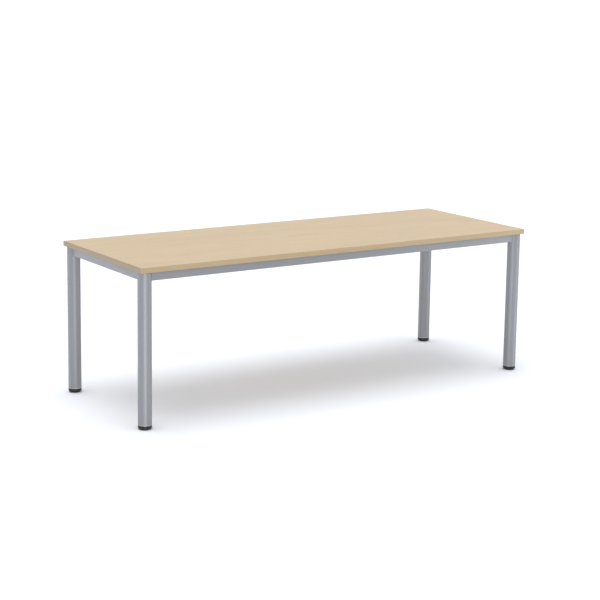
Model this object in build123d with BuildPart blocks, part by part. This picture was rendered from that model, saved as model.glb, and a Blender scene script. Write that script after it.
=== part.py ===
"""Rectangular hall table: banded board on four round legs, four rails and levelling feet.

Units are millimetres. +Z is up and z = 0 is the floor. The origin is under the middle of the
top, +X runs along the length, and the front long side faces -Y.
"""
from build123d import *
import os
from math import cos, radians, sin, sqrt

os.makedirs("parts", exist_ok=True)

# ---- driving dimensions --------------------------------------------------------------
table_length = 2200.0
table_width = 800.0
table_height = 740.0

board_thickness = 25.0
band_thickness = 2.0
band_rounding = 1.5

leg_radius = 31.75
leg_wall = 2.0
leg_inset = 36.0            # from the top's edge to the leg's axis

rail_height = 40.0
rail_depth = 20.0
rail_wall = 1.5
rail_corner = 2.5
rail_inset = 19.0           # from the top's edge to the rail's outer face
rail_to_leg_gap = 0.2       # the coped rail end stands this far off the tube

foot_height = 20.0          # from the floor to the top of the foot
foot_travel = 12.0          # how far a foot screws out
foot_rounding = 6.0
foot_stop_gap = 0.2         # between the foot and the end of the leg, screwed right in
glide_radius = 23.0
glide_thickness = 3.0
glide_rounding = 0.8
glide_gap = 0.2             # between the glide's face and the foot that turns on it
spigot_radius = 6.0
spigot_height = 5.0
running_clearance = 0.06    # radial, between a pin or thread and its bore

stud_radius = 5.0           # M10
stud_head_flats = 17.0
stud_head_height = 5.0
stud_length = 46.0
stud_head_depth = 1.0       # between the spigot's bore and the stud's head
stud_tip = 1.0
stud_bore_clearance = 0.5   # radial, where the stud passes through the insert
moulded_clearance = 0.05    # radial, between a moulded-in piece and its seat
moulded_edge = 0.5          # broken edge of a moulding

insert_height = 30.0
insert_wall = 2.5
insert_floor = 5.0
insert_boss_radius = 13.0
insert_rib_count = 6
insert_rib_thickness = 2.0
nut_flats = 17.0
nut_height = 8.0

plug_plate = 2.5
plug_skirt = 3.5
plug_wall = 2.5
plug_lead_in = 0.8

bracket_plate = 4.0
bracket_reach = 100.0       # from the leg's axis to the end of a bracket's arm
bracket_height = 39.0
bracket_gusset_width = 25.0
bracket_bend = 3.0          # inside bend radius
bracket_screw_places = (64.0, 88.0)
gusset_screws = ((52.0, 52.0), (86.0, 16.0), (16.0, 86.0))

clip_plate = 3.0
clip_width = 40.0
clip_drop = 30.0
clip_reach = 34.0
clip_bend = 2.0
clip_screw_drop = 19.0
clip_board_screw_reach = 22.0
clip_board_screw_spread = 24.0
clip_pitch = 500.0          # between the clips along a long rail

leg_bolt_radius = 4.0       # M8
leg_bolt_length = 25.0
leg_bolt_flats = 13.0
leg_bolt_head = 5.3
leg_bolt_pitch = 18.0
leg_bolt_drop = 1.5         # the pair sits this far below the middle of the rail
leg_bolt_tip = 0.8
washer_radius = 8.0
washer_thickness = 1.6
washer_clearance = 0.2
leg_nut_flange = 1.2
leg_nut_flange_radius = 7.5
leg_nut_radius = 5.5
leg_nut_length = 16.0

rail_screw_radius = 3.0     # M6
rail_screw_length = 12.0
rail_screw_head_radius = 5.25
rail_screw_head = 3.3
rail_screw_socket = 4.0
rail_screw_socket_depth = 2.0
rail_screw_dome = 2.0
rail_screw_tip = 0.6
rail_nut_flange = 0.8
rail_nut_flange_radius = 6.0
rail_nut_radius = 4.5
rail_nut_length = 11.0

board_screw_radius = 2.25
board_screw_depth = 16.0
board_screw_head_radius = 4.5
board_screw_head = 2.8
board_screw_slot = 1.4
board_screw_slot_depth = 1.2
board_screw_dome = 1.6
board_screw_tip = 1.5

screw_clearance = 0.25      # radial, where a screw or bolt passes through a plate

# ---- worked out from the driving dimensions ------------------------------------------
board_underside = table_height - board_thickness
leg_x = table_length / 2 - leg_inset
leg_y = table_width / 2 - leg_inset
leg_bottom = foot_height + foot_stop_gap
leg_inner_radius = leg_radius - leg_wall
rail_bottom = board_underside - rail_height
rail_middle = board_underside - rail_height / 2
rail_x = table_length / 2 - rail_inset - rail_depth / 2
rail_y = table_width / 2 - rail_inset - rail_depth / 2
rail_back = rail_inset + rail_depth - leg_inset     # rail's inner face, inward of the leg axis
bracket_face = rail_back + rail_nut_flange
web_face = leg_radius + leg_nut_flange
leg_bolt_heights = (
    rail_middle - leg_bolt_drop - leg_bolt_pitch / 2,
    rail_middle - leg_bolt_drop + leg_bolt_pitch / 2,
)

corners = {
    "front_left": (-1, -1),
    "front_right": (1, -1),
    "rear_right": (1, 1),
    "rear_left": (-1, 1),
}
# a quarter turn from one corner to the next carries one corner's bracket into the next one's
corner_turns = {"front_left": 0, "front_right": 90, "rear_right": 180, "rear_left": 270}


def save(piece, name):
    """Label a finished piece and write it to its own file."""
    piece.part.label = name
    export_step(piece.part, f"parts/{name}.step")


def leg_axis(corner):
    """X and Y of a corner's leg axis."""
    side_x, side_y = corners[corner]
    return side_x * leg_x, side_y * leg_y


def corner_plane(corner, height):
    """Plane on a leg's axis whose own X and Y both point inward along the rails."""
    turn = radians(corner_turns[corner])
    x, y = leg_axis(corner)
    return Plane(origin=(x, y, height), x_dir=(cos(turn), sin(turn), 0), z_dir=(0, 0, 1))


def corner_point(corner, along, across, height):
    """Point in the corner's own directions, turned into table coordinates."""
    return corner_plane(corner, height).from_local_coords(Vector(along, across, 0))


def diagonal_plane(corner, distance, height):
    """Plane across the corner's diagonal, facing the middle of the table."""
    reach = distance / sqrt(2)
    origin = corner_point(corner, reach, reach, height)
    outward = corner_point(corner, 0, 0, height)
    return Plane(origin=origin, z_dir=(origin - outward).normalized())


def rail_face_planes(corner, along, height, depth):
    """Planes on both rails' inner faces near a corner, facing the middle of the table."""
    planes = []
    for along_first in (True, False):
        face = (along, depth) if along_first else (depth, along)
        base = (along, 0) if along_first else (0, along)
        origin = corner_point(corner, *face, height)
        normal = origin - corner_point(corner, *base, height)
        planes.append(Plane(origin=origin, z_dir=normal.normalized()))
    return planes


# ---- where the clips and fasteners go -------------------------------------------------
# each clip: middle of the rail's inner face, and the direction from the rail to the middle
long_face_y = leg_y - rail_back
short_face_x = leg_x - rail_back
clips = {
    "board_clip_front_left": ((-clip_pitch, -long_face_y), (0, 1)),
    "board_clip_front_middle": ((0, -long_face_y), (0, 1)),
    "board_clip_front_right": ((clip_pitch, -long_face_y), (0, 1)),
    "board_clip_rear_left": ((-clip_pitch, long_face_y), (0, -1)),
    "board_clip_rear_middle": ((0, long_face_y), (0, -1)),
    "board_clip_rear_right": ((clip_pitch, long_face_y), (0, -1)),
    "board_clip_left": ((-short_face_x, 0), (1, 0)),
    "board_clip_right": ((short_face_x, 0), (-1, 0)),
}

leg_bolt_planes = []
rail_nut_planes = []
rail_screw_planes = []
board_screw_places = []
board_screw_seats = []
for corner in corners:
    for height in leg_bolt_heights:
        leg_bolt_planes.append((corner, height))
    for along in bracket_screw_places:
        rail_nut_planes += rail_face_planes(corner, along, rail_middle, rail_back)
        rail_screw_planes += rail_face_planes(
            corner, along, rail_middle, bracket_face + bracket_plate
        )
    for along, across in gusset_screws:
        place = corner_point(corner, along, across, board_underside)
        board_screw_places.append(place)
        board_screw_seats.append(place - Vector(0, 0, bracket_plate))
for (clip_x, clip_y), (toward_x, toward_y) in clips.values():
    facing = Vector(toward_x, toward_y, 0)
    face = Vector(clip_x, clip_y, board_underside - clip_screw_drop)
    rail_nut_planes.append(Plane(origin=face, z_dir=facing))
    seat = face + facing * (rail_nut_flange + clip_plate)
    rail_screw_planes.append(Plane(origin=seat, z_dir=facing))
    for side in (-1, 1):
        sideways = Vector(-toward_y, toward_x, 0) * (side * clip_board_screw_spread / 2)
        place = Vector(clip_x, clip_y, board_underside) + sideways
        place += facing * clip_board_screw_reach
        board_screw_places.append(place)
        board_screw_seats.append(place - Vector(0, 0, clip_plate))


# ---- table top ------------------------------------------------------------------------
with BuildPart() as table_top_board:
    with BuildSketch(Plane.XY.offset(board_underside)):
        Rectangle(table_length - 2 * band_thickness, table_width - 2 * band_thickness)
    extrude(amount=board_thickness)
    with BuildSketch(Plane.XY.offset(board_underside)):
        with Locations(*[(place.X, place.Y) for place in board_screw_places]):
            Circle(board_screw_radius + moulded_clearance)
    extrude(amount=board_screw_depth, mode=Mode.SUBTRACT)
save(table_top_board, "table_top_board")


def edge_band(plane, length):
    """Straight edge band standing on the given plane, its outer face towards the plane's +Y."""
    with BuildPart() as band:
        with BuildSketch(plane):
            Rectangle(length, band_thickness, align=(Align.CENTER, Align.MIN))
        extrude(amount=board_thickness)
        outward = Axis(plane.origin, plane.y_dir)
        outer_face = band.faces().sort_by(outward)[-1]
        along = Axis(plane.origin, plane.x_dir)
        fillet(outer_face.edges().filter_by(along), band_rounding)
    return band


half_x = table_length / 2 - band_thickness
half_y = table_width / 2 - band_thickness
band_seats = {
    "edge_band_front": ((0, -half_y), (0, -1), table_length),
    "edge_band_rear": ((0, half_y), (0, 1), table_length),
    "edge_band_left": ((-half_x, 0), (-1, 0), table_width - 2 * band_thickness),
    "edge_band_right": ((half_x, 0), (1, 0), table_width - 2 * band_thickness),
}
for name, ((x, y), (out_x, out_y), length) in band_seats.items():
    # the plane's Y is its Z crossed with its X, so an X of (out_y, -out_x) puts Y outward
    seat = Plane(origin=(x, y, board_underside), x_dir=(out_y, -out_x, 0), z_dir=(0, 0, 1))
    save(edge_band(seat, length), name)


# ---- rails ----------------------------------------------------------------------------
def rail(plane, half_length):
    """Box-section rail centred on the plane, coped round both legs, with its rivet nut holes."""
    with BuildPart() as tube:
        with BuildSketch(plane):
            RectangleRounded(rail_depth, rail_height, rail_corner)
            RectangleRounded(
                rail_depth - 2 * rail_wall,
                rail_height - 2 * rail_wall,
                rail_corner - rail_wall,
                mode=Mode.SUBTRACT,
            )
        extrude(amount=half_length, both=True)
        with BuildSketch(Plane.XY.offset(rail_bottom)):
            with Locations(*[leg_axis(corner) for corner in corners]):
                Circle(leg_radius + rail_to_leg_gap)
        extrude(amount=rail_height, mode=Mode.SUBTRACT)
        for nut_plane in rail_nut_planes:
            same_way = abs(nut_plane.z_dir.dot(plane.z_dir)) < 0.5
            beside = abs((nut_plane.origin - plane.origin).dot(nut_plane.z_dir)) < rail_depth
            if same_way and beside:
                with BuildSketch(nut_plane):
                    Circle(rail_nut_radius + moulded_clearance)
                extrude(amount=-rail_depth / 2, mode=Mode.SUBTRACT)
    return tube


rail_seats = {
    "rail_front": (Plane(origin=(0, -rail_y, rail_middle), x_dir=(0, 1, 0), z_dir=(1, 0, 0)), leg_x),
    "rail_rear": (Plane(origin=(0, rail_y, rail_middle), x_dir=(0, 1, 0), z_dir=(1, 0, 0)), leg_x),
    "rail_left": (Plane(origin=(-rail_x, 0, rail_middle), x_dir=(1, 0, 0), z_dir=(0, -1, 0)), leg_y),
    "rail_right": (Plane(origin=(rail_x, 0, rail_middle), x_dir=(1, 0, 0), z_dir=(0, -1, 0)), leg_y),
}
for name, (seat, half_length) in rail_seats.items():
    save(rail(seat, half_length), name)


# ---- legs and their top plugs -----------------------------------------------------------
def leg(corner):
    """Round tube with two rivet nut holes on its inward side."""
    with BuildPart() as tube:
        with BuildSketch(corner_plane(corner, leg_bottom)):
            Circle(leg_radius)
            Circle(leg_inner_radius, mode=Mode.SUBTRACT)
        extrude(amount=board_underside - leg_bottom)
        for height in leg_bolt_heights:
            with BuildSketch(diagonal_plane(corner, leg_radius, height)):
                Circle(leg_nut_radius + moulded_clearance)
            extrude(amount=-leg_radius / 2, mode=Mode.SUBTRACT)
    return tube


def leg_plug(corner):
    """Shallow moulded cup that closes a leg under the board."""
    with BuildPart() as plug:
        with BuildSketch(corner_plane(corner, board_underside)):
            Circle(leg_inner_radius - moulded_clearance)
        extrude(amount=-(plug_plate + plug_skirt))
        with BuildSketch(corner_plane(corner, board_underside - plug_plate)):
            Circle(leg_inner_radius - moulded_clearance - plug_wall)
        extrude(amount=-plug_skirt, mode=Mode.SUBTRACT)
        chamfer(plug.edges().group_by(Axis.Z)[0].sort_by(SortBy.RADIUS)[-1], plug_lead_in)
    return plug


# ---- corner brackets --------------------------------------------------------------------
def corner_bracket(corner):
    """Folded plate: a web across the corner, an arm along each rail and a gusset on top."""
    web_near = web_face * sqrt(2)
    web_far = web_near + bracket_plate * sqrt(2)
    arm_back = bracket_face + bracket_plate
    bottom = corner_plane(corner, board_underside - bracket_height)
    with BuildPart() as bracket:
        with BuildSketch(bottom):
            with BuildLine():
                Polyline(
                    (bracket_face, bracket_reach),
                    (bracket_face, web_near - bracket_face),
                    (web_near - bracket_face, bracket_face),
                    (bracket_reach, bracket_face),
                    (bracket_reach, arm_back),
                    (web_far - arm_back, arm_back),
                    (arm_back, web_far - arm_back),
                    (arm_back, bracket_reach),
                    close=True,
                )
            make_face()
        extrude(amount=bracket_height)
        toward_middle = Axis(bottom.origin, diagonal_plane(corner, web_face, 0).z_dir)
        upright_edges = bracket.edges().filter_by(Axis.Z).sort_by(toward_middle)
        fillet(upright_edges[2:4], bracket_bend)
        upright_edges = bracket.edges().filter_by(Axis.Z).sort_by(toward_middle)
        fillet(upright_edges[0:2], bracket_bend + bracket_plate)
        with BuildSketch(corner_plane(corner, board_underside - bracket_plate)):
            with BuildLine():
                Polyline(
                    (web_far - arm_back, arm_back),
                    (bracket_reach, arm_back),
                    (bracket_reach, bracket_gusset_width),
                    (bracket_gusset_width, bracket_reach),
                    (arm_back, bracket_reach),
                    (arm_back, web_far - arm_back),
                    close=True,
                )
            make_face()
        extrude(amount=bracket_plate)
        with BuildSketch(corner_plane(corner, board_underside - bracket_plate)):
            with Locations(*gusset_screws):
                Circle(board_screw_radius + screw_clearance)
        extrude(amount=bracket_plate, mode=Mode.SUBTRACT)
        for height in leg_bolt_heights:
            with BuildSketch(diagonal_plane(corner, web_face, height)):
                Circle(leg_bolt_radius + screw_clearance)
            extrude(amount=bracket_plate, mode=Mode.SUBTRACT)
        for along in bracket_screw_places:
            for face in rail_face_planes(corner, along, rail_middle, bracket_face):
                with BuildSketch(face):
                    Circle(rail_screw_radius + screw_clearance)
                extrude(amount=bracket_plate, mode=Mode.SUBTRACT)
    return bracket


def board_clip(face_middle, toward):
    """Small folded angle between a rail's inner face and the underside of the board."""
    facing = Vector(*toward, 0)
    sideways = Vector(-toward[1], toward[0], 0)
    corner_spot = Vector(*face_middle, board_underside) + facing * rail_nut_flange
    profile_plane = Plane(
        origin=corner_spot - sideways * (clip_width / 2), x_dir=facing, z_dir=sideways
    )
    with BuildPart() as clip:
        with BuildSketch(profile_plane):
            with BuildLine():
                # on this plane +X leads inward from the rail and +Y leads down
                Polyline(
                    (0, 0),
                    (clip_reach, 0),
                    (clip_reach, clip_plate),
                    (clip_plate, clip_plate),
                    (clip_plate, clip_drop),
                    (0, clip_drop),
                    close=True,
                )
            make_face()
        extrude(amount=clip_width)
        bend_edges = clip.edges().filter_by(Axis(corner_spot, sideways))
        inner_bend = bend_edges.sort_by_distance(
            corner_spot + (facing - Vector(0, 0, 1)) * clip_plate
        )[0]
        fillet(inner_bend, clip_bend)
        screw_face = corner_spot - Vector(0, 0, clip_screw_drop)
        with BuildSketch(Plane(origin=screw_face, z_dir=facing)):
            Circle(rail_screw_radius + screw_clearance)
        extrude(amount=clip_plate, mode=Mode.SUBTRACT)
        for side in (-1, 1):
            hole = corner_spot + facing * (clip_board_screw_reach - rail_nut_flange)
            hole += sideways * (side * clip_board_screw_spread / 2)
            with BuildSketch(Plane(origin=hole, z_dir=(0, 0, 1))):
                Circle(board_screw_radius + screw_clearance)
            extrude(amount=-clip_plate, mode=Mode.SUBTRACT)
    return clip


for name, (face_middle, toward) in clips.items():
    save(board_clip(face_middle, toward), name)


# ---- levelling feet -----------------------------------------------------------------------
stud_bottom = glide_thickness + spigot_height + stud_head_depth


def glide(corner):
    """Flat disc that stays still on the floor, with a spigot the foot turns on."""
    with BuildPart() as disc:
        with BuildSketch(corner_plane(corner, 0)):
            Circle(glide_radius)
        extrude(amount=glide_thickness)
        fillet(disc.edges().group_by(Axis.Z)[0], glide_rounding)
        with BuildSketch(corner_plane(corner, glide_thickness)):
            Circle(spigot_radius)
        extrude(amount=spigot_height)
        chamfer(disc.edges().group_by(Axis.Z)[-1], moulded_edge)
    return disc


def foot(corner):
    """Round moulded foot with a bore for the glide's spigot and a seat for the stud."""
    bottom = glide_thickness + glide_gap
    with BuildPart() as body:
        with BuildSketch(corner_plane(corner, bottom)):
            Circle(leg_radius)
        extrude(amount=foot_height - bottom)
        fillet(body.edges().group_by(Axis.Z)[0], foot_rounding)
        chamfer(body.edges().group_by(Axis.Z)[-1], moulded_edge)
        with BuildSketch(corner_plane(corner, bottom)):
            Circle(spigot_radius + running_clearance)
        extrude(amount=spigot_height, mode=Mode.SUBTRACT)
        with BuildSketch(corner_plane(corner, stud_bottom)):
            RegularPolygon(
                stud_head_flats / 2 + moulded_clearance, 6, major_radius=False
            )
        extrude(amount=stud_head_height, mode=Mode.SUBTRACT)
        with BuildSketch(corner_plane(corner, stud_bottom + stud_head_height)):
            Circle(stud_radius + moulded_clearance)
        extrude(until=Until.LAST, mode=Mode.SUBTRACT)
    return body


def foot_stud(corner):
    """Threaded stud, its hexagon head moulded in the foot."""
    with BuildPart() as stud:
        with BuildSketch(corner_plane(corner, stud_bottom)):
            RegularPolygon(stud_head_flats / 2, 6, major_radius=False)
        extrude(amount=stud_head_height)
        with BuildSketch(corner_plane(corner, stud_bottom + stud_head_height)):
            Circle(stud_radius)
        extrude(amount=stud_length)
        chamfer(stud.edges().group_by(Axis.Z)[-1], stud_tip)
    return stud


def foot_insert(corner):
    """Ribbed moulded plug in the leg's lower end, with a pocket for the nut."""
    bottom = leg_bottom
    outer = leg_inner_radius - moulded_clearance
    with BuildPart() as plug:
        with BuildSketch(corner_plane(corner, bottom)):
            Circle(outer)
        extrude(amount=insert_floor)
        with BuildSketch(corner_plane(corner, bottom + insert_floor)):
            Circle(outer)
            Circle(outer - insert_wall, mode=Mode.SUBTRACT)
            Circle(insert_boss_radius)
            with PolarLocations((insert_boss_radius + outer - insert_wall) / 2, insert_rib_count):
                Rectangle(outer - insert_boss_radius, insert_rib_thickness)
        extrude(amount=insert_height - insert_floor)
        with BuildSketch(corner_plane(corner, bottom)):
            Circle(stud_radius + stud_bore_clearance)
        extrude(amount=insert_height, mode=Mode.SUBTRACT)
        with BuildSketch(corner_plane(corner, bottom + insert_height)):
            RegularPolygon(nut_flats / 2 + moulded_clearance, 6, major_radius=False)
        extrude(amount=-nut_height, mode=Mode.SUBTRACT)
    return plug


for corner in corners:
    save(leg(corner), f"leg_{corner}")
    save(leg_plug(corner), f"leg_plug_{corner}")
    save(corner_bracket(corner), f"corner_bracket_{corner}")
    save(glide(corner), f"glide_{corner}")
    save(foot(corner), f"foot_{corner}")
    save(foot_stud(corner), f"foot_stud_{corner}")
    save(foot_insert(corner), f"foot_insert_{corner}")


# ---- fasteners: one master of each, then a group of them ------------------------------------
# every master stands on its seat: z = 0 is the seat, the head is above it, the shank below
with BuildPart() as leg_bolt:
    with BuildSketch():
        RegularPolygon(leg_bolt_flats / 2, 6, major_radius=False)
    extrude(amount=leg_bolt_head)
    with BuildSketch():
        Circle(leg_bolt_radius)
    extrude(amount=-leg_bolt_length)
    chamfer(leg_bolt.edges().group_by(Axis.Z)[0], leg_bolt_tip)

with BuildPart() as washer:
    with BuildSketch():
        Circle(washer_radius)
        Circle(leg_bolt_radius + washer_clearance, mode=Mode.SUBTRACT)
    extrude(amount=washer_thickness)

with BuildPart() as leg_rivet_nut:
    with BuildSketch():
        Circle(leg_nut_flange_radius)
    extrude(amount=leg_nut_flange)
    with BuildSketch():
        Circle(leg_nut_radius)
    extrude(amount=-leg_nut_length)
    with BuildSketch(Plane.XY.offset(leg_nut_flange)):
        Circle(leg_bolt_radius + moulded_clearance)
    extrude(amount=-(leg_nut_length + leg_nut_flange), mode=Mode.SUBTRACT)

with BuildPart() as rail_screw:
    with BuildSketch():
        Circle(rail_screw_head_radius)
    extrude(amount=rail_screw_head)
    fillet(rail_screw.edges().group_by(Axis.Z)[-1], rail_screw_dome)
    with BuildSketch(Plane.XY.offset(rail_screw_head)):
        RegularPolygon(rail_screw_socket / 2, 6, major_radius=False)
    extrude(amount=-rail_screw_socket_depth, mode=Mode.SUBTRACT)
    with BuildSketch():
        Circle(rail_screw_radius)
    extrude(amount=-rail_screw_length)
    chamfer(rail_screw.edges().group_by(Axis.Z)[0], rail_screw_tip)

with BuildPart() as rail_rivet_nut:
    with BuildSketch():
        Circle(rail_nut_flange_radius)
    extrude(amount=rail_nut_flange)
    with BuildSketch():
        Circle(rail_nut_radius)
    extrude(amount=-rail_nut_length)
    with BuildSketch(Plane.XY.offset(rail_nut_flange)):
        Circle(rail_screw_radius + moulded_clearance)
    extrude(amount=-(rail_nut_length + rail_nut_flange), mode=Mode.SUBTRACT)

with BuildPart() as board_screw:
    # head downward: the seat is the lower face of a plate and the shank runs up
    with BuildSketch():
        Circle(board_screw_head_radius)
    extrude(amount=-board_screw_head)
    fillet(board_screw.edges().group_by(Axis.Z)[0], board_screw_dome)
    with BuildSketch(Plane.XY.offset(-board_screw_head)):
        Rectangle(board_screw_slot, 2 * board_screw_radius)
        Rectangle(2 * board_screw_radius, board_screw_slot)
    extrude(amount=board_screw_slot_depth, mode=Mode.SUBTRACT)
    with BuildSketch():
        Circle(board_screw_radius)
    extrude(amount=board_screw_depth)
    chamfer(board_screw.edges().group_by(Axis.Z)[-1], board_screw_tip)

with BuildPart() as foot_nut:
    with BuildSketch():
        RegularPolygon(nut_flats / 2, 6, major_radius=False)
        Circle(stud_radius + running_clearance, mode=Mode.SUBTRACT)
    extrude(amount=nut_height)


def group(master, places):
    """The same fastener at every place, as separate solids."""
    with BuildPart() as together:
        with Locations(*places):
            add(master.part)
    return together


washer_seat = web_face + bracket_plate
bolt_seat = washer_seat + washer_thickness
nut_seats = [corner_plane(corner, leg_bottom + insert_height - nut_height) for corner in corners]
fastener_groups = {
    "leg_bolts": (leg_bolt, [diagonal_plane(c, bolt_seat, z) for c, z in leg_bolt_planes]),
    "leg_bolt_washers": (washer, [diagonal_plane(c, washer_seat, z) for c, z in leg_bolt_planes]),
    "leg_rivet_nuts": (
        leg_rivet_nut,
        [diagonal_plane(c, leg_radius, z) for c, z in leg_bolt_planes],
    ),
    "rail_rivet_nuts": (rail_rivet_nut, rail_nut_planes),
    "rail_screws": (rail_screw, rail_screw_planes),
    "board_screws": (board_screw, [Plane(origin=seat) for seat in board_screw_seats]),
    "foot_nuts": (foot_nut, nut_seats),
}
for name, (master, places) in fastener_groups.items():
    save(group(master, places), name)
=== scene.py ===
"""Hall table: banded board, powder-coated legs and rails, levelling feet, and a plain studio.

Everything is in metres in the frame of the loaded parts: +X along the table, +Z up, the floor at
z = 0 and the front long side towards -Y. Each operator makes one group of pieces.
"""
from math import cos, pi, radians, sin, sqrt

import bmesh
import bpy
from bpy.props import FloatProperty, FloatVectorProperty, IntProperty, PointerProperty
from mathutils import Matrix, Vector


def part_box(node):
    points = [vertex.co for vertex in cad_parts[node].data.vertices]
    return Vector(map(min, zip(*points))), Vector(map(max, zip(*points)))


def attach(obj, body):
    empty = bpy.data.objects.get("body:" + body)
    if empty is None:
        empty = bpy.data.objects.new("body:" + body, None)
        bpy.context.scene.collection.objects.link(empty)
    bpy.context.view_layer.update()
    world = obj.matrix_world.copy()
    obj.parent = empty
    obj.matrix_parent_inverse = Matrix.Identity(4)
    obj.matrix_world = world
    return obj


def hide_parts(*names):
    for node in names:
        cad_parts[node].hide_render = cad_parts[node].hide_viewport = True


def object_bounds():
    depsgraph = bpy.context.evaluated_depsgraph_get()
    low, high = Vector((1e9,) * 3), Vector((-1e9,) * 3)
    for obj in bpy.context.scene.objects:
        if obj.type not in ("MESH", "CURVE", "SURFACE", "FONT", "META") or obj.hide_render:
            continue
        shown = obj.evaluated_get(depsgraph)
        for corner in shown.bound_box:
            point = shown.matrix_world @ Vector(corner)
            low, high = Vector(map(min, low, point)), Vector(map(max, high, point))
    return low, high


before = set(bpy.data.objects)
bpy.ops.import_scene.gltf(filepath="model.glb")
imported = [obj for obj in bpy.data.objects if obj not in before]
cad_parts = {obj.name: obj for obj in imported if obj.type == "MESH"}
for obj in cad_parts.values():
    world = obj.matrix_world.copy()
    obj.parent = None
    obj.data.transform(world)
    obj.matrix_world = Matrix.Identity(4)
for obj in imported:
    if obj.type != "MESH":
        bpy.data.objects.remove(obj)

bl_info = {
    "name": "Hall Table",
    "version": (1, 0, 0),
    "blender": (4, 5, 0),
    "location": "3D View > Sidebar > Hall Table",
    "description": "Builds the looks of a rectangular hall table around its loaded parts",
    "category": "Object",
}

MM = 0.001
CAD_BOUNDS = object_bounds()
TOP_FACE = CAD_BOUNDS[1][2]
UNDER_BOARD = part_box("table_top_board")[0][2]
TUBE_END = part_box("leg_front_left")[0][2]
BAND_END = CAD_BOUNDS[1][0]
CORNERS = ("front_left", "front_right", "rear_right", "rear_left")
SIDES = ("front", "rear", "left", "right")
COPE_CUTS = 10
THREAD_STEPS = 24
CLIPS = ("front_left", "front_middle", "front_right", "rear_left", "rear_middle", "rear_right",
         "left", "right")


def middle(node):
    """The middle of a loaded part's box."""
    low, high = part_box(node)
    return (Vector(low) + Vector(high)) / 2


def size(node):
    """The size of a loaded part's box."""
    low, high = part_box(node)
    return Vector(high) - Vector(low)


# ---- sizes and colours a user would change -------------------------------------------------
class HallTableSizes(bpy.types.PropertyGroup):
    """Edge and surface sizes of the pieces"""
    band_rounding: FloatProperty(
        name="Band Rounding", description="Radius along the outer edges of the edge bands",
        default=1.5 * MM, min=0.2 * MM, max=1.9 * MM, unit="LENGTH", precision=4)
    seam_bevel: FloatProperty(
        name="Seam Bevel", description="Tiny bevel each side of the joint between board and band",
        default=0.12 * MM, min=0.02 * MM, max=0.4 * MM, unit="LENGTH", precision=5)
    tube_wall: FloatProperty(
        name="Tube Wall", description="Wall thickness of the leg tubes",
        default=2.0 * MM, min=1 * MM, max=5 * MM, unit="LENGTH", precision=4)
    tube_edge: FloatProperty(
        name="Tube Edge", description="Deburred edge at the ends of the leg tubes",
        default=0.5 * MM, min=0.1 * MM, max=0.9 * MM, unit="LENGTH", precision=4)
    cope_gap: FloatProperty(
        name="Cope Gap", description="Gap between a rail's hollowed end and the leg",
        default=0.2 * MM, min=0.05 * MM, max=1 * MM, unit="LENGTH", precision=4)
    rail_rounding: FloatProperty(
        name="Rail Rounding", description="Outside corner radius of the box-section rails",
        default=2.5 * MM, min=0.5 * MM, max=5 * MM, unit="LENGTH", precision=4)
    foot_rounding: FloatProperty(
        name="Foot Rounding", description="Radius round the bottom edge of the feet",
        default=6 * MM, min=1 * MM, max=9 * MM, unit="LENGTH", precision=4)
    foot_rim: FloatProperty(
        name="Foot Rim", description="Radius round the top edge of the feet",
        default=0.6 * MM, min=0.1 * MM, max=2 * MM, unit="LENGTH", precision=4)
    glide_thickness: FloatProperty(
        name="Glide Thickness", description="Thickness of the discs under the feet",
        default=3.0 * MM, min=1 * MM, max=5 * MM, unit="LENGTH", precision=4)
    glide_rounding: FloatProperty(
        name="Glide Rounding", description="Radius round the bottom edge of the discs",
        default=0.8 * MM, min=0.1 * MM, max=2 * MM, unit="LENGTH", precision=4)
    spigot_radius: FloatProperty(
        name="Spigot Radius", description="Pin of a disc that its foot turns on",
        default=6.0 * MM, min=2 * MM, max=10 * MM, unit="LENGTH", precision=4)
    plate_edge: FloatProperty(
        name="Plate Edge", description="Pressed edge of brackets and clips",
        default=0.35 * MM, min=0.05 * MM, max=1 * MM, unit="LENGTH", precision=5)
    stud_radius: FloatProperty(
        name="Stud Radius", description="Outside radius of the foot studs' thread",
        default=5.0 * MM, min=3 * MM, max=8 * MM, unit="LENGTH", precision=4)
    stud_head_flats: FloatProperty(
        name="Stud Head Flats", description="Across the flats of the studs' hexagon heads",
        default=17.0 * MM, min=8 * MM, max=30 * MM, unit="LENGTH", precision=4)
    stud_head_height: FloatProperty(
        name="Stud Head Height", description="Height of the studs' hexagon heads",
        default=5.0 * MM, min=2 * MM, max=10 * MM, unit="LENGTH", precision=4)
    thread_pitch: FloatProperty(
        name="Thread Pitch", description="Pitch of the levelling foot's stud",
        default=1.5 * MM, min=0.5 * MM, max=3 * MM, unit="LENGTH", precision=4)
    round_steps: IntProperty(
        name="Round Steps", description="Faces round a leg or foot", default=128, min=24, max=256)


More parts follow.
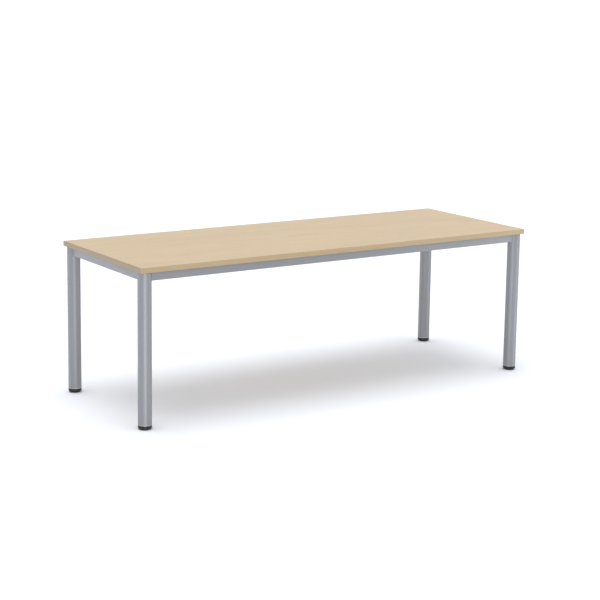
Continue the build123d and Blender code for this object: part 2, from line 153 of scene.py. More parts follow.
class HallTableColours(bpy.types.PropertyGroup):
    """Colours of the finishes, as linear values"""
    decor: FloatVectorProperty(
        name="Board Decor", description="Pale wood decor of the board", subtype="COLOR", size=3,
        default=(0.550, 0.419, 0.263), min=0, max=1)
    band: FloatVectorProperty(
        name="Long Bands", description="Wood decor of the bands on the long sides",
        subtype="COLOR", size=3, default=(0.500, 0.376, 0.220), min=0, max=1)
    # painted shade: the short bands share the long bands' decor but are coloured darker to offset
    # the side lights
    short_band: FloatVectorProperty(
        name="Short Bands",
        description="Wood decor of the short sides, darker to offset the studio's side lights",
        subtype="COLOR", size=3, default=(0.322, 0.244, 0.150), min=0, max=1)
    paint: FloatVectorProperty(
        name="Powder Coat", description="Silver-grey powder coat of legs and rails",
        subtype="COLOR", size=3, default=(0.273, 0.275, 0.286), min=0, max=1)
    zinc: FloatVectorProperty(
        name="Zinc", description="Zinc plate of brackets, clips and screws",
        subtype="COLOR", size=3, default=(0.640, 0.655, 0.680), min=0, max=1)
    foot: FloatVectorProperty(
        name="Foot", description="Black moulding of the feet", subtype="COLOR", size=3,
        default=(0.012, 0.012, 0.013), min=0, max=1)
    floor: FloatVectorProperty(
        name="Floor", description="Pale studio floor", subtype="COLOR", size=3,
        default=(0.905, 0.925, 0.970), min=0, max=1)


class HallTableStudio(bpy.types.PropertyGroup):
    """Camera and lights"""
    lens: FloatProperty(
        name="Lens", description="Focal length", default=93.6, min=20, max=300, unit="CAMERA")
    lens_drop: FloatProperty(
        name="Lens Drop", description="Downward lens shift that keeps the legs upright",
        default=0.1, min=0, max=0.5)
    azimuth: FloatProperty(
        name="Azimuth", description="Camera's turn from straight in front, towards +X",
        default=radians(-33.33), subtype="ANGLE")
    elevation: FloatProperty(
        name="Elevation", description="Camera's height angle", default=radians(9.827),
        subtype="ANGLE")
    roll: FloatProperty(
        name="Roll", description="Camera's tilt about its own axis", default=radians(0.834),
        subtype="ANGLE")
    distance: FloatProperty(
        name="Distance", description="From the camera to its aim", default=7.726,
        min=2, max=30, unit="LENGTH")
    aim: FloatVectorProperty(
        name="Aim", description="The point that the camera looks at", subtype="TRANSLATION",
        default=(-0.0069, 0.0045, 0.7131), size=3, unit="LENGTH")
    sun: FloatProperty(
        name="Overhead Light", description="Strength of the soft overhead light", default=1.30,
        min=0, max=20)
    sun_spread: FloatProperty(
        name="Overhead Spread", description="How wide the overhead light is in the sky",
        default=radians(44), min=0, max=pi, subtype="ANGLE")
    sun_from: FloatVectorProperty(
        name="Overhead From", description="Direction that the overhead light comes from",
        subtype="DIRECTION", default=(-0.05, 0.0, 1.0), size=3)
    sky: FloatProperty(
        name="Room Light", description="Strength of the light from all round", default=0.905,
        min=0, max=5)


# ---- shader maths --------------------------------------------------------------------------
class Value:
    """A number that varies over a surface. Arithmetic on it adds Math nodes."""

    def __init__(self, finish, socket):
        self.finish = finish
        self.socket = socket

    def math(self, operation, *values, clamp=False):
        """A Math node on these values."""
        settings = {"operation": operation, "use_clamp": clamp}
        return self.finish.node("ShaderNodeMath", settings, dict(enumerate(values)))

    def __add__(self, other):
        return self.math("ADD", self, other)

    def __radd__(self, other):
        return self.math("ADD", other, self)

    def __sub__(self, other):
        return self.math("SUBTRACT", self, other)

    def __rsub__(self, other):
        return self.math("SUBTRACT", other, self)

    def __mul__(self, other):
        return self.math("MULTIPLY", self, other)

    def __rmul__(self, other):
        return self.math("MULTIPLY", other, self)

    def sine(self):
        return self.math("SINE", self)

    def size(self):
        """The value without its sign."""
        return self.math("ABSOLUTE", self)

    def clamp(self):
        """The value kept between 0 and 1."""
        return self.math("ADD", self, 0.0, clamp=True)

    def steps(self, low, high):
        """0 below low, 1 above high, and a smooth rise between."""
        settings = {"interpolation_type": "SMOOTHSTEP"}
        values = {"Value": self, "From Min": low, "From Max": high, "To Min": 0.0, "To Max": 1.0}
        return self.finish.node("ShaderNodeMapRange", settings, values)


class Finish:
    """One material: its nodes, and the shader that they feed."""

    def __init__(self, name, **constants):
        self.material = bpy.data.materials.new(name)
        self.material.use_nodes = True
        self.tree = self.material.node_tree
        self.shader = self.tree.nodes["Principled BSDF"]
        for socket, value in constants.items():
            self.shader.inputs[socket.replace("_", " ")].default_value = value

    def node(self, kind, settings=None, values=None, output=0):
        """A node of that type, with its settings first and then its values or links."""
        made = self.tree.nodes.new(kind)
        for name, setting in (settings or {}).items():
            setattr(made, name, setting)
        for name, value in (values or {}).items():
            if isinstance(value, Value):
                self.tree.links.new(value.socket, made.inputs[name])
            else:
                made.inputs[name].default_value = value
        return Value(self, made.outputs[output])

    def place(self, stretch=(1, 1, 1), turn=(0, 0, 0), shift=(0, 0, 0)):
        """Object coordinates in metres, multiplied by stretch."""
        where = self.node("ShaderNodeTexCoord", output="Object")
        values = {"Vector": where, "Scale": stretch, "Rotation": turn, "Location": shift}
        return self.node("ShaderNodeMapping", None, values)

    def noise(self, where, scale=1.0, detail=2.0, roughness=0.5, output=0):
        """Soft clouds, or streaks where the place is stretched."""
        values = {"Vector": where, "Scale": scale, "Detail": detail, "Roughness": roughness}
        return self.node("ShaderNodeTexNoise", None, values, output)

    def cells(self, where, scale=1.0, output="Distance"):
        """Small cells, by the distance from each one's middle or by its random colour."""
        return self.node("ShaderNodeTexVoronoi", None, {"Vector": where, "Scale": scale}, output)

    def axis(self, where, name):
        """One of a vector's X, Y and Z."""
        return self.node("ShaderNodeSeparateXYZ", None, {"Vector": where}, name)

    def push(self, where, vector):
        """A place moved by a vector."""
        return self.node("ShaderNodeVectorMath", {"operation": "ADD"}, {0: where, 1: vector})

    def multiply(self, vector, scale):
        """A vector stretched by a scale on each axis."""
        return self.node("ShaderNodeVectorMath", {"operation": "MULTIPLY"}, {0: vector, 1: scale})

    def mix(self, share, first, second):
        """Colours mixed by share: 0 is the first and 1 the second."""
        colours = [c if isinstance(c, Value) else (*c, 1.0) for c in (first, second)]
        values = {0: share, 6: colours[0], 7: colours[1]}
        return self.node("ShaderNodeMix", {"data_type": "RGBA"}, values, 2)

    def shade(self, colour, factor):
        """A colour multiplied by a factor that varies over the surface."""
        return self.node(
            "ShaderNodeVectorMath", {"operation": "SCALE"}, {0: colour, "Scale": factor})

    def bump(self, height, depth, strength=1.0):
        """A normal from a height of 0 to 1 that is depth metres tall."""
        values = {"Height": height, "Distance": depth, "Strength": strength}
        return self.node("ShaderNodeBump", None, values)

    def feed(self, **looks):
        """Link values to the shader's sockets, and give back the finished material."""
        for socket, value in looks.items():
            self.tree.links.new(value.socket, self.shader.inputs[socket.replace("_", " ")])
        return self.material


def tint(colour, *factors):
    """A colour multiplied by one factor, or by one for each channel."""
    factors = factors if len(factors) == 3 else factors * 3
    return tuple(channel * factor for channel, factor in zip(colour, factors))


DUST = (0.110, 0.1045, 0.099)
INNER_BLACK = (0.022, 0.022, 0.024)


# ---- finishes ------------------------------------------------------------------------------
def wood_decor(name, colour, turn=0.0, shift=(0, 0, 0), banding=False, **constants):
    """Pale printed wood: soft lengthwise figure, fibres, pores and small spindle flecks.

    Banding carries a painted highlight along its top edge; it is warmer along its lower edge
    and, on the long sides, darker at its cut ends.
    """
    finish = Finish(name, **constants)
    where = finish.place()
    along = finish.place(turn=(0, 0, turn), shift=shift)
    slow = finish.noise(along, 1.3, 2.0, output="Color")
    drift = finish.multiply(slow, (0.0, 0.055, 0.055))
    grain = finish.push(along, drift)

    def stretched(scale, detail, roughness=0.5):
        return finish.noise(finish.multiply(grain, scale), 1.0, detail, roughness)

    tone = stretched((0.9, 8.0, 8.0), 3.0)
    figure = stretched((2.6, 62.0, 62.0), 3.0, 0.6)
    rings = (stretched((0.45, 5.0, 5.0), 1.0) * (30.0 * pi)).sine()
    streaks = stretched((11.0, 520.0, 520.0), 3.0, 0.65)
    fibres = stretched((40.0, 1900.0, 1900.0), 2.0, 0.6)
    pores = stretched((95.0, 2400.0, 2400.0), 1.0).steps(0.60, 0.68)
    flecks = stretched((120.0, 900.0, 900.0), 1.0).steps(0.62, 0.70)
    figured = figure.steps(0.30, 0.70)
    lightness = (1.0 + (tone - 0.5) * 0.13 + (figure - 0.5) * 0.27 + rings * 0.018
                 + (streaks - 0.5) * 0.24 + (fibres - 0.5) * 0.15)
    lightness = lightness - pores * 0.15 - flecks * 0.10
    base = finish.mix(figured, colour, tint(colour, 0.985, 0.955, 0.90))
    if banding:
        height = finish.axis(where, "Z")
        if turn == 0.0:
            cut = finish.axis(where, "X").size().steps(BAND_END - 0.25 * MM, BAND_END - 0.05 * MM)
            base = finish.mix(cut * 0.55, base, tint(colour, 0.62, 0.52, 0.38))
        glue = 1.0 - height.steps(UNDER_BOARD + 0.8 * MM, UNDER_BOARD + 2.6 * MM)
        base = finish.mix(glue * 0.55, base, tint(colour, 1.0, 0.90, 0.70))
        # painted highlight: the band is lighter along its top edge
        painted_edge_highlight = height.steps(TOP_FACE - 1.0 * MM, TOP_FACE - 0.3 * MM)
        lightness = lightness + painted_edge_highlight * 0.20
    rough = 0.43 + (streaks - 0.5) * 0.12 + pores * 0.15
    relief = 1.0 - pores * 0.8 - flecks * 0.2 + (fibres - 0.5) * 0.25
    return finish.feed(
        Base_Color=finish.shade(base, lightness),
        Roughness=rough,
        Normal=finish.bump(relief, 0.03 * MM, 0.6),
    )


def powder_coat(name, colour):
    """Silver-grey powder coat: fine metal flakes under a softly rippled satin skin.

    The tubes' lower ends are paler, a painted highlight, and the last few millimetres under
    the board darker, a painted shade.
    """
    finish = Finish(name, Metallic=0.60, IOR=1.5, Coat_Weight=0.12, Coat_Roughness=0.30)
    where = finish.place()
    ripple = finish.noise(where, 480.0, 2.0, 0.5)
    grain = finish.noise(where, 2600.0, 2.0, 0.6)
    cloud = finish.noise(where, 5.0, 3.0, 0.55)
    flake = finish.node(
        "ShaderNodeSeparateColor", None, {0: finish.cells(where, 3600.0, output="Color")}, 0)
    height = finish.axis(where, "Z")
    # painted highlight: a paler rim at the tubes' lower ends
    painted_rim_highlight = 1.0 - height.steps(TUBE_END + 2.2 * MM, TUBE_END + 4.2 * MM)
    # painted shade: darker in the last few millimetres under the board
    painted_shade_under_board = height.steps(UNDER_BOARD - 6 * MM, UNDER_BOARD)
    lightness = (1.0 + (flake - 0.5) * 0.22 + (cloud - 0.5) * 0.04 + (grain - 0.5) * 0.06
                 + painted_rim_highlight * 0.60 - painted_shade_under_board * 0.28)
    rough = 0.52 + (cloud - 0.5) * 0.05 + (flake - 0.5) * 0.14
    return finish.feed(
        Base_Color=finish.shade(colour, lightness),
        Roughness=rough,
        Normal=finish.bump(ripple * 0.7 + grain * 0.3, 0.05 * MM, 0.4),
    )


def zinc_plate(name, colour, rolled=1.0):
    """Bright zinc on steel: rolling lines, faint blue and yellow clouds and dull spots."""
    finish = Finish(name, Metallic=1.0)
    where = finish.place()
    lines = finish.noise(finish.place((60.0, 60.0, 1900.0)), 1.0, 3.0, 0.6)
    cloud = finish.noise(where, 46.0, 4.0, 0.6)
    hue = finish.noise(where, 21.0, 2.0, 0.5)
    spots = finish.noise(where, 240.0, 3.0, 0.6).steps(0.58, 0.74)
    warm, cool = tint(colour, 1.02, 0.985, 0.90), tint(colour, 0.93, 0.98, 1.05)
    base = finish.mix(hue.steps(0.36, 0.64), warm, cool)
    lightness = 1.0 + (cloud - 0.5) * 0.22 + (lines - 0.5) * (0.12 * rolled) - spots * 0.10
    rough = 0.30 + (cloud - 0.5) * 0.22 + (lines - 0.5) * (0.14 * rolled) + spots * 0.16
    return finish.feed(
        Base_Color=finish.shade(base, lightness),
        Roughness=rough,
        Normal=finish.bump(lines * rolled + cloud * 0.4, 0.02 * MM, 0.4),
    )


def black_moulding(name, colour, grain=1.0, dusty=0.0):
    """Black plastic with a fine spark-eroded grain, and dust and scuffs towards the floor."""
    finish = Finish(name, IOR=1.49, Specular_IOR_Level=0.35)
    where = finish.place()
    erosion = finish.cells(where, 1700.0)
    fine = finish.noise(where, 3200.0, 2.0, 0.6)
    cloud = finish.noise(where, 55.0, 3.0, 0.6)
    scuffs = finish.noise(finish.place((90.0, 90.0, 900.0)), 1.0, 3.0, 0.65).steps(0.60, 0.72)
    low = 1.0 - finish.axis(where, "Z").steps(1 * MM, 11 * MM)
    wear = (low * (0.35 + cloud * 0.8) + scuffs * 0.35) * dusty
    base = finish.mix(wear.clamp(), colour, DUST)
    lightness = 1.0 + (cloud - 0.5) * 0.25 + (fine - 0.5) * 0.18
    rough = 0.47 + (cloud - 0.5) * 0.12 + wear * 0.25
    return finish.feed(
        Base_Color=finish.shade(base, lightness),
        Roughness=rough,
        Normal=finish.bump(erosion * 0.7 + fine * 0.3, 0.05 * MM, 0.45 * grain),
    )


def studio_floor(name, colour):
    """Plain pale matt floor, with barely visible clouds."""
    finish = Finish(name, Specular_IOR_Level=0.0)
    cloud = finish.noise(finish.place(), 1.5, 2.0, 0.5)
    return finish.feed(
        Base_Color=finish.shade(colour, 1.0 + (cloud - 0.5) * 0.01),
        Roughness=0.9 + (cloud - 0.5) * 0.05,
    )


def material(name, maker, *values, **settings):
    """The material of that name, made the first time it is asked for."""
    return bpy.data.materials.get(name) or maker(name, *values, **settings)


def set_colours():
    """The colours that the user has set."""
    return bpy.context.scene.hall_table_colours


def set_sizes():
    """The sizes that the user has set."""
    return bpy.context.scene.hall_table_sizes


def paint():
    """Powder coat of legs and rails."""
    return material("powder_coat", powder_coat, set_colours().paint)


def zinc():
    """Zinc plate of turned and pressed screws."""
    return material("zinc_screws", zinc_plate, set_colours().zinc, 0.5)


def plate():
    """Zinc plate of folded sheet, with its rolling lines."""
    return material("zinc_plate", zinc_plate, tint(set_colours().zinc, 0.9), 1.0)


def inner_black():
    """Black moulding of the pieces inside the legs."""
    return material("inner_black", black_moulding, INNER_BLACK, 0.6)


# ---- making pieces -------------------------------------------------------------------------
def finish_piece(mesh_data, name, finish, body, nodes, sharp_angle=35.0):
    """Turn a bmesh into a piece that rides on its body and stands for its loaded parts."""
    bmesh.ops.recalc_face_normals(mesh_data, faces=mesh_data.faces)
    mesh = bpy.data.meshes.new(name)
    mesh_data.to_mesh(mesh)
    mesh_data.free()
    mesh.shade_smooth()
    mesh.set_sharp_from_angle(angle=radians(sharp_angle))
    mesh.materials.append(finish)
    piece = bpy.data.objects.new(name, mesh)
    bpy.context.scene.collection.objects.link(piece)
    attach(piece, body)
    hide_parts(*nodes)
    return piece


def block(low, high):
    """A bmesh box between two corners."""
    solid = bmesh.new()
    bmesh.ops.create_cube(solid, size=1.0)
    low, high = Vector(low), Vector(high)
    place = Matrix.Translation((low + high) / 2) @ Matrix.Diagonal((*(high - low), 1.0))
    bmesh.ops.transform(solid, matrix=place, verts=solid.verts)
    return solid


def lengthwise_edges(solid, axis):
    """The edges of a bmesh box that run along an axis."""
    return [edge for edge in solid.edges
            if abs((edge.verts[0].co - edge.verts[1].co)[axis]) > 1 * MM]


def round_edges(solid, edges, radius, segments):
    """Round the chosen edges of a bmesh."""
    bmesh.ops.bevel(
        solid, geom=list(edges), offset=radius, offset_type="OFFSET", segments=segments,
        profile=0.5, affect="EDGES", material=-1, clamp_overlap=True)


def turned(profile, centre, steps):
    """A closed solid of revolution about Z, from (radius, height) points on its outline."""
    solid = bmesh.new()
    points = [solid.verts.new((centre[0] + r, centre[1], z)) for r, z in profile]
    pairs = list(zip(points, points[1:]))
    if profile[0][0] > 0 and profile[-1][0] > 0:
        pairs.append((points[-1], points[0]))
    edges = [solid.edges.new(pair) for pair in pairs]
    bmesh.ops.spin(
        solid, geom=points + edges, cent=(centre[0], centre[1], 0), axis=(0, 0, 1),
        dvec=(0, 0, 0), angle=2 * pi, steps=steps, use_merge=True, use_duplicate=False)
    bmesh.ops.remove_doubles(solid, verts=solid.verts, dist=1e-7)
    return solid


def arc(centre, radius, start, end, steps):
    """Points (r, z) on an arc, angles in degrees from +r towards +z."""
    turns = [radians(start + (end - start) * i / steps) for i in range(steps + 1)]
    return [(centre[0] + radius * cos(t), centre[1] + radius * sin(t)) for t in turns]


def smooth_copy(node, name, finish, body, edge):
    """A loaded part's shape with merged corners, clean faces and finely broken edges."""
    solid = bmesh.new()
    solid.from_mesh(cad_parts[node].data)
    bmesh.ops.remove_doubles(solid, verts=solid.verts, dist=1e-6)
    bmesh.ops.dissolve_limit(
        solid, angle_limit=radians(1.0), verts=solid.verts, edges=solid.edges,
        delimit={"NORMAL"})
    piece = finish_piece(solid, name, finish, body, [node], 32.0)
    bevel = piece.modifiers.new("broken_edges", "BEVEL")
    bevel.width = edge
    bevel.segments = 2
    bevel.limit_method = "ANGLE"
    bevel.angle_limit = radians(40)
    return piece


def repaint(node, finish):
    """Give a loaded part that keeps its own shape a better finish."""
    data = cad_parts[node].data
    if not data.materials:
        data.materials.append(finish)
    for index in range(len(data.materials)):
        data.materials[index] = finish


# ---- table top -----------------------------------------------------------------------------
class HALLTABLE_OT_board(bpy.types.Operator):
    """Make the table top board with its pale wood decor"""
    bl_idname = "hall_table.board"
    bl_label = "Board"
    bl_options = {"REGISTER", "UNDO"}

    def execute(self, context):
        low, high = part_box("table_top_board")
        solid = block(low, high)
        round_edges(solid, solid.edges, set_sizes().seam_bevel, 1)
        decor = material(
            "board_decor", wood_decor, set_colours().decor,
            Specular_IOR_Level=0.36)
        finish_piece(solid, "decor_board", decor, "table", ["table_top_board"])
        return {"FINISHED"}


class HALLTABLE_OT_edge_bands(bpy.types.Operator):
    """Make the four edge bands, rounded along their outer edges"""
    bl_idname = "hall_table.edge_bands"
    bl_label = "Edge Bands"
    bl_options = {"REGISTER", "UNDO"}

    def execute(self, context):
        sizes = set_sizes()
        for side in SIDES:
            node = f"edge_band_{side}"
            low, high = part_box(node)
            centre = middle(node)
            long_axis = 0 if side in ("front", "rear") else 1
            out_axis = 1 - long_axis
            outward = 1 if centre[out_axis] > 0 else -1
            solid = block(low, high)
            outer, inner = [], []
            for edge in lengthwise_edges(solid, long_axis):
                beyond = (edge.verts[0].co[out_axis] - centre[out_axis]) * outward
                (outer if beyond > 0 else inner).append(edge)
            round_edges(solid, inner, sizes.seam_bevel, 1)
            outer = [edge for edge in outer if edge.is_valid]
            round_edges(solid, outer, sizes.band_rounding, 6)
            turn = 0.0 if long_axis == 0 else pi / 2
            # the short bands take their darker colour, a painted shade
            shade = set_colours().band if long_axis == 0 else set_colours().short_band
            decor = material(
                f"band_decor_{side}", wood_decor, shade, turn,
                (0.37 * SIDES.index(side), 0.0, 0.21 * SIDES.index(side)), True,
                Specular_IOR_Level=0.45)
            finish_piece(solid, f"band_{side}", decor, "table", [node], 50.0)
        return {"FINISHED"}


# ---- legs and rails --------------------------------------------------------------------------
class HALLTABLE_OT_legs(bpy.types.Operator):
    """Make the four round leg tubes"""
    bl_idname = "hall_table.legs"
    bl_label = "Legs"
    bl_options = {"REGISTER", "UNDO"}

    def execute(self, context):
        sizes = set_sizes()
        wall, burr = sizes.tube_wall, sizes.tube_edge
        for corner in CORNERS:
            node = f"leg_{corner}"
            low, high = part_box(node)
            centre = middle(node)
            radius = size(node).x / 2
            bottom, top = low[2], high[2]
            profile = (
                arc((radius - burr, bottom + burr), burr, 0, -90, 4)
                + arc((radius - wall + burr, bottom + burr), burr, 270, 180, 4)
                + [(radius - wall, top), (radius - burr, top), (radius, top - burr)]
            )
            solid = turned(profile, centre, sizes.round_steps)
            finish_piece(solid, f"leg_tube_{corner}", paint(), "table", [node])
        return {"FINISHED"}


class HALLTABLE_OT_rails(bpy.types.Operator):
    """Make the four box-section rails, coped round the legs"""
    bl_idname = "hall_table.rails"
    bl_label = "Rails"
    bl_options = {"REGISTER", "UNDO"}

    def execute(self, context):
        sizes = set_sizes()
        leg_middle = middle("leg_rear_right")
        reach = size("leg_rear_right").x / 2 + sizes.cope_gap
        for side in SIDES:
            node = f"rail_{side}"
            low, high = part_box(node)
            long_axis = 0 if side in ("front", "rear") else 1
            across = 1 - long_axis
            solid = block(low, high)
            round_edges(solid, lengthwise_edges(solid, long_axis), sizes.rail_rounding, 6)
            cross = Vector((0, 0, 0))
            cross[across] = 1
            for share in range(1, COPE_CUTS):
                spot = Vector(low).lerp(Vector(high), share / COPE_CUTS)
                bmesh.ops.bisect_plane(
                    solid, geom=solid.verts[:] + solid.edges[:] + solid.faces[:],
                    plane_co=spot, plane_no=cross, dist=1e-6)
            for vert in solid.verts:
                offset = abs(vert.co[across]) - leg_middle[across]
                end = leg_middle[long_axis] - sqrt(max(reach * reach - offset * offset, 0.0))
                vert.co[long_axis] = end if vert.co[long_axis] > 0 else -end
            finish_piece(solid, f"rail_tube_{side}", paint(), "table", [node], 40.0)
        return {"FINISHED"}


# ---- brackets, clips and fasteners -------------------------------------------------------------
class HALLTABLE_OT_brackets(bpy.types.Operator):
    """Make the corner brackets and board clips of folded plate"""
    bl_idname = "hall_table.brackets"
    bl_label = "Brackets and Clips"
    bl_options = {"REGISTER", "UNDO"}

    def execute(self, context):
        edge = set_sizes().plate_edge
        for corner in CORNERS:
            smooth_copy(
                f"corner_bracket_{corner}", f"folded_bracket_{corner}", plate(), "table",
                edge)
        for clip in CLIPS:
            smooth_copy(
                f"board_clip_{clip}", f"folded_clip_{clip}", plate(), "table", edge)
        return {"FINISHED"}


class HALLTABLE_OT_fasteners(bpy.types.Operator):
    """Give the bolts, washers, screws and nuts their zinc finish"""
    bl_idname = "hall_table.fasteners"
    bl_label = "Fasteners"
    bl_options = {"REGISTER", "UNDO"}

    def execute(self, context):
        for node in ("leg_bolts", "leg_bolt_washers", "leg_rivet_nuts", "rail_rivet_nuts",
                     "rail_screws", "board_screws", "foot_nuts"):
            repaint(node, zinc())
        return {"FINISHED"}


# ---- levelling feet -------------------------------------------------------------------------
class HALLTABLE_OT_feet(bpy.types.Operator):
    """Make the black levelling feet and the glides under them"""
    bl_idname = "hall_table.feet"
    bl_label = "Levelling Feet"
    bl_options = {"REGISTER", "UNDO"}

    def execute(self, context):
        sizes = set_sizes()
        moulding = material(
            "foot_moulding", black_moulding, set_colours().foot, 1.0, 0.22)
        glide_finish = material(
            "glide_polymer", black_moulding, tint(set_colours().foot, 1.3), 0.5, 0.6)
        for corner in CORNERS:
            node = f"foot_{corner}"
            low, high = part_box(node)
            centre = middle(node)
            radius = size(node).x / 2
            rounding, rim = sizes.foot_rounding, sizes.foot_rim
            profile = (
                [(0.0, low[2])]
                + arc((radius - rounding, low[2] + rounding), rounding, -90, 0, 12)
                + arc((radius - rim, high[2] - rim), rim, 0, 90, 4)
                + [(0.0, high[2])]
            )
            solid = turned(profile, centre, sizes.round_steps)
            finish_piece(
                solid, f"foot_moulding_{corner}", moulding, f"foot_{corner}",
                [node])
            node = f"glide_{corner}"
            low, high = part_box(node)
            radius = size(node).x / 2
            disc_top = low[2] + sizes.glide_thickness
            rounding, spigot = sizes.glide_rounding, sizes.spigot_radius
            profile = (
                [(0.0, low[2])]
                + arc((radius - rounding, low[2] + rounding), rounding, -90, 0, 5)
                + [(radius, disc_top), (spigot, disc_top), (spigot, high[2]), (0.0, high[2])]
            )
            solid = turned(profile, centre, sizes.round_steps)
            finish_piece(
                solid, f"glide_disc_{corner}", glide_finish, f"glide_{corner}",
                [node])
        return {"FINISHED"}


class HALLTABLE_OT_studs(bpy.types.Operator):
    """Make the threaded studs of the feet"""
    bl_idname = "hall_table.studs"
    bl_label = "Threaded Studs"
    bl_options = {"REGISTER", "UNDO"}

    def execute(self, context):
        sizes = set_sizes()
        pitch, radius = sizes.thread_pitch, sizes.stud_radius
        core = radius - 0.61 * pitch
        root = core - 0.05 * MM
        head_radius = sizes.stud_head_flats / 2 / cos(pi / 6)
        for corner in CORNERS:
            node = f"foot_stud_{corner}"
            low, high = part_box(node)
            centre = middle(node)
            head_top = low[2] + sizes.stud_head_height
            solid = bmesh.new()
            for sides, round_radius, bottom, top in (
                    (6, head_radius, low[2], head_top), (32, core, head_top, high[2])):
                made = bmesh.ops.create_cone(
                    solid, cap_ends=True, segments=sides, radius1=round_radius,
                    radius2=round_radius, depth=top - bottom)
                bmesh.ops.translate(
                    solid, vec=(centre.x, centre.y, (bottom + top) / 2), verts=made["verts"])
            turns = int((high[2] - head_top - 2 * pitch) / pitch)
            start = head_top + 0.8 * pitch
            tooth = [
                solid.verts.new((centre.x + out, centre.y, start + rise * pitch))
                for out, rise in ((root, -0.46), (radius, -0.07), (radius, 0.07), (root, 0.46))]
            first = solid.faces.new(tooth)
            steps = THREAD_STEPS * turns
            bmesh.ops.spin(
                solid, geom=[first, *first.edges, *first.verts], cent=(centre.x, centre.y, 0),
                axis=(0, 0, 1), dvec=(0, 0, turns * pitch / steps), angle=2 * pi * turns,
                steps=steps, use_merge=False, use_duplicate=False)
            finish_piece(
                solid, f"threaded_stud_{corner}", zinc(), f"foot_{corner}", [node])
        return {"FINISHED"}


class HALLTABLE_OT_inner_mouldings(bpy.types.Operator):
    """Give the leg plugs and foot inserts their plain black moulding"""
    bl_idname = "hall_table.inner_mouldings"
    bl_label = "Plugs and Inserts"
    bl_options = {"REGISTER", "UNDO"}

    def execute(self, context):
        for corner in CORNERS:
            repaint(f"leg_plug_{corner}", inner_black())
            repaint(f"foot_insert_{corner}", inner_black())
        return {"FINISHED"}


# ---- studio ------------------------------------------------------------------------------------
# Glossy-only strips whose reflections run down the legs: name, place, aim, width, height, power.
# They reach below the floor, so that a leg's highlight is as strong at its foot as at its top.
STRIPS = (
    ("front_strip", (-1.85, -2.7, -0.25), (0.1, 0.2, -0.25), 0.85, 2.6, 31.0),
    ("right_strip", (2.45, -1.65, -0.20), (0.0, 0.0, -0.20), 0.45, 2.4, 11.0),
    ("rear_strip", (-2.4, 3.0, 0.0), (-0.6, 0.0, 0.0), 0.8, 2.4, 8.0),
    ("left_fill", (-3.6, 0.4, 0.1), (0.6, -0.1, 0.1), 2.6, 2.4, 5.0),
)
ROOM_COLOUR = (0.945, 0.970, 1.0, 1.0)
BACKDROP_COLOUR = (1.0, 1.0, 1.0, 1.0)
BACKDROP_STRENGTH = 1.05
FLOOR_REACH = 60.0


def add_floor():
    """A wide pale sheet. It casts no shadow, so light from below its level passes."""
    sheet = bmesh.new()
    bmesh.ops.create_grid(sheet, x_segments=1, y_segments=1, size=FLOOR_REACH)
    mesh = bpy.data.meshes.new("floor")
    sheet.to_mesh(mesh)
    sheet.free()
    mesh.materials.append(material("studio_floor", studio_floor, set_colours().floor))
    floor = bpy.data.objects.new("floor", mesh)
    bpy.context.scene.collection.objects.link(floor)
    floor.visible_shadow = False


def add_room(strength):
    """Even light from all round, with a plain white backdrop for the camera."""
    world = bpy.data.worlds.new("room_light")
    world.use_nodes = True
    nodes, links = world.node_tree.nodes, world.node_tree.links
    room = nodes["Background"]
    backdrop = nodes.new("ShaderNodeBackground")
    for shader, colour, power in (
            (room, ROOM_COLOUR, strength), (backdrop, BACKDROP_COLOUR, BACKDROP_STRENGTH)):
        shader.inputs["Color"].default_value = colour
        shader.inputs["Strength"].default_value = power
    seen = nodes.new("ShaderNodeLightPath")
    choose = nodes.new("ShaderNodeMixShader")
    links.new(seen.outputs["Is Camera Ray"], choose.inputs[0])
    links.new(room.outputs[0], choose.inputs[1])
    links.new(backdrop.outputs[0], choose.inputs[2])
    links.new(choose.outputs[0], nodes["World Output"].inputs["Surface"])
    bpy.context.scene.world = world


def add_overhead(strength, spread, source):
    """One wide soft light from above, for the shadow under the table."""
    data = bpy.data.lights.new("overhead", "SUN")
    data.energy = strength
    data.angle = spread
    light = bpy.data.objects.new("overhead", data)
    light.rotation_mode = "QUATERNION"
    light.rotation_quaternion = Vector(source).to_track_quat("Z", "Y")
    bpy.context.scene.collection.objects.link(light)


def add_strip(name, place, aim, width, height, power):
    """A rectangular light turned towards a point, which shows only in reflections."""
    data = bpy.data.lights.new(name, "AREA")
    data.shape = "RECTANGLE"
    data.size = width
    data.size_y = height
    data.energy = power
    data.cycles.use_multiple_importance_sampling = False
    light = bpy.data.objects.new(name, data)
    light.location = place
    light.rotation_mode = "QUATERNION"
    light.rotation_quaternion = (Vector(aim) - Vector(place)).to_track_quat("-Z", "Y")
    light.visible_diffuse = False
    light.visible_camera = False
    bpy.context.scene.collection.objects.link(light)


def add_camera(studio):
    """The camera, placed by its angles and distance from its aim."""
    data = bpy.data.cameras.new("camera")
    data.lens = studio.lens
    data.sensor_width = 36.0
    data.shift_y = -studio.lens_drop
    data.clip_end = 200.0
    camera = bpy.data.objects.new("camera", data)
    a, e = studio.azimuth, studio.elevation
    back = Vector((sin(a) * cos(e), -cos(a) * cos(e), sin(e)))
    right = Vector((0, 0, 1)).cross(back).normalized()
    level = Matrix((right, back.cross(right), back)).transposed()
    camera.location = Vector(studio.aim) + back * studio.distance
    camera.rotation_mode = "QUATERNION"
    camera.rotation_quaternion = (level @ Matrix.Rotation(studio.roll, 3, "Z")).to_quaternion()
    bpy.context.scene.collection.objects.link(camera)
    bpy.context.scene.camera = camera


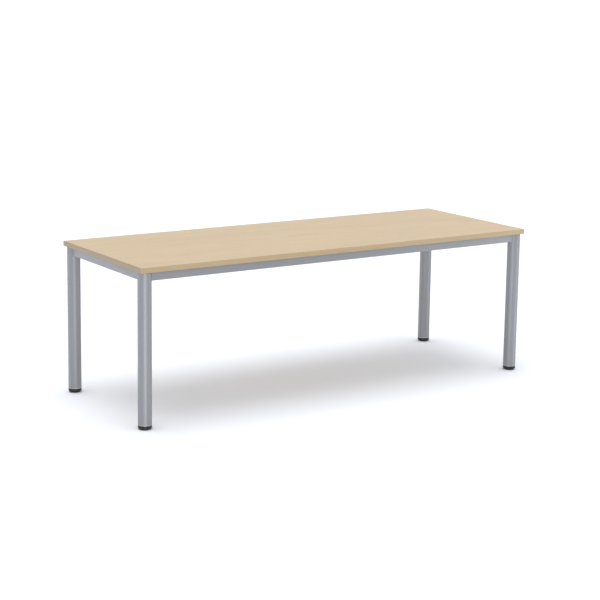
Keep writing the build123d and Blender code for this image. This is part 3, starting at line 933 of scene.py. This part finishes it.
class HALLTABLE_OT_studio(bpy.types.Operator):
    """Make the pale floor, the soft lights and the camera"""
    bl_idname = "hall_table.studio"
    bl_label = "Studio"
    bl_options = {"REGISTER", "UNDO"}

    def execute(self, context):
        studio = context.scene.hall_table_studio
        add_floor()
        add_room(studio.sky)
        add_overhead(studio.sun, studio.sun_spread, studio.sun_from)
        for strip in STRIPS:
            add_strip(*strip)
        add_camera(studio)
        context.scene.view_settings.view_transform = "Standard"
        context.scene.view_settings.look = "None"
        return {"FINISHED"}


PIECE_OPERATORS = (
    HALLTABLE_OT_board,
    HALLTABLE_OT_edge_bands,
    HALLTABLE_OT_legs,
    HALLTABLE_OT_rails,
    HALLTABLE_OT_brackets,
    HALLTABLE_OT_fasteners,
    HALLTABLE_OT_feet,
    HALLTABLE_OT_studs,
    HALLTABLE_OT_inner_mouldings,
    HALLTABLE_OT_studio,
)


class HALLTABLE_PT_panel(bpy.types.Panel):
    """The table's pieces, sizes and colours"""
    bl_idname = "HALLTABLE_PT_panel"
    bl_label = "Hall Table"
    bl_space_type = "VIEW_3D"
    bl_region_type = "UI"
    bl_category = "Hall Table"

    def draw(self, context):
        scene = context.scene
        for operator in PIECE_OPERATORS:
            self.layout.operator(operator.bl_idname)
        for group in (scene.hall_table_sizes, scene.hall_table_colours, scene.hall_table_studio):
            box = self.layout.box()
            for name in group.bl_rna.properties.keys():
                if name not in ("rna_type", "name"):
                    box.prop(group, name)


CLASSES = (HallTableSizes, HallTableColours, HallTableStudio, *PIECE_OPERATORS, HALLTABLE_PT_panel)


def register():
    for cls in CLASSES:
        bpy.utils.register_class(cls)
    bpy.types.Scene.hall_table_sizes = PointerProperty(type=HallTableSizes)
    bpy.types.Scene.hall_table_colours = PointerProperty(type=HallTableColours)
    bpy.types.Scene.hall_table_studio = PointerProperty(type=HallTableStudio)


def unregister():
    del bpy.types.Scene.hall_table_studio
    del bpy.types.Scene.hall_table_colours
    del bpy.types.Scene.hall_table_sizes
    for cls in reversed(CLASSES):
        bpy.utils.unregister_class(cls)


def main():
    register()
    for operator in PIECE_OPERATORS:
        group, name = operator.bl_idname.split(".")
        getattr(getattr(bpy.ops, group), name)()


if __name__ == "__main__":
    main()
